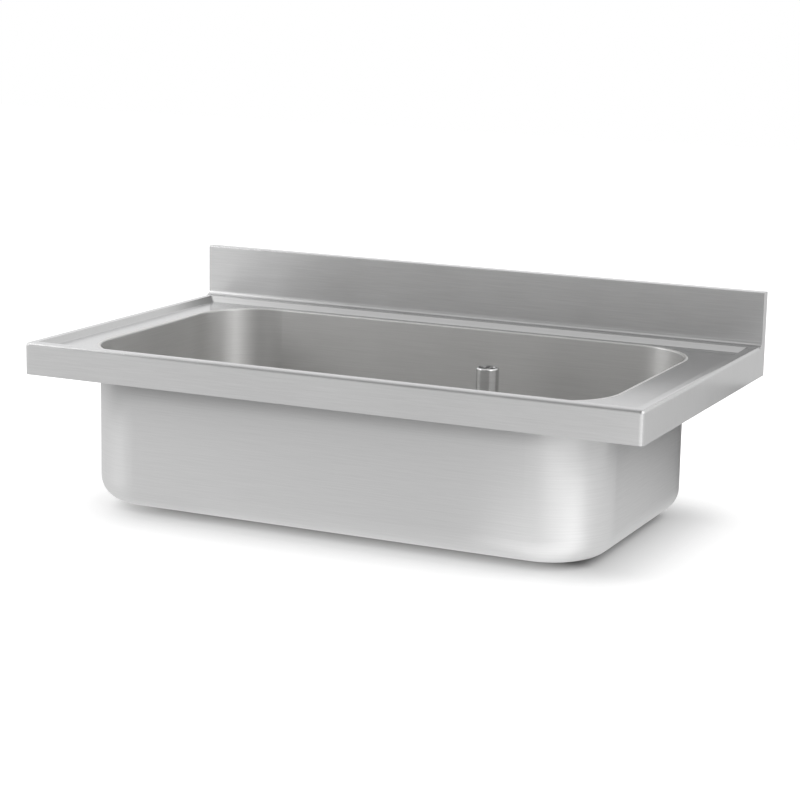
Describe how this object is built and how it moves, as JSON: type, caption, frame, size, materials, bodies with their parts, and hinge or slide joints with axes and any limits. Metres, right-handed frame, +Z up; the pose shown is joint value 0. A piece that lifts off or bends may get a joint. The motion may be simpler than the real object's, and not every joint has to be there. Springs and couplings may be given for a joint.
{
  "type": "commercial kitchen sink",
  "caption": "Stainless steel commercial sink: long folded top with raised edge and splashback, a deep round-cornered bowl, and a standpipe that lifts out of the waste.",
  "frame": {"origin": "on the floor, under the middle of the top's length and depth", "axes": "+X along the sink to its right end, +Y from the front apron to the splashback, +Z up"},
  "size_m": [1.2, 0.7, 0.416],
  "materials": {
    "worktop_steel": "fine horizontal brushing, satin",
    "bowl_steel": "satin, drawn and polished",
    "frame_steel": "mill finish",
    "waste_steel": "turned, satin",
    "pipe_steel": "polished steel tube",
    "waste_nut": "moulded, matt",
    "washer_fibre": "pressed fibre",
    "plug_plastic": "moulded, matt",
    "seal_rubber": "black rubber",
    "pad_rubber": "ribbed grey-black rubber"
  },
  "bodies": {
    "sink": {"bowl": "bowl_steel", "frame_bracket_front_left": "frame_steel", "frame_bracket_front_right": "frame_steel", "frame_bracket_rear_left": "frame_steel", "frame_bracket_rear_right": "frame_steel", "front_stiffener": "frame_steel", "left_stiffener": "frame_steel", "rear_stiffener": "frame_steel", "right_stiffener": "frame_steel", "splashback_end_cap_left": "worktop_steel", "splashback_end_cap_right": "worktop_steel", "support_pad_front_left": "pad_rubber", "support_pad_front_right": "pad_rubber", "support_pad_rear_left": "pad_rubber", "support_pad_rear_right": "pad_rubber", "waste_flange": "waste_steel", "waste_gasket": "seal_rubber", "waste_ring_nut": "waste_nut", "waste_washer": "washer_fibre", "worktop": "worktop_steel"},
    "standpipe": {"standpipe_collar": "pipe_steel", "standpipe_lifting_bar": "pipe_steel", "standpipe_plug": "plug_plastic", "standpipe_seal": "seal_rubber", "standpipe_tube": "pipe_steel"}
  },
  "joints": [
    {"name": "standpipe_lift", "type": "slide", "parent": "sink", "child": "standpipe", "axis": [0, 0, 1], "range_m": [0, 0.41]}
  ]
}
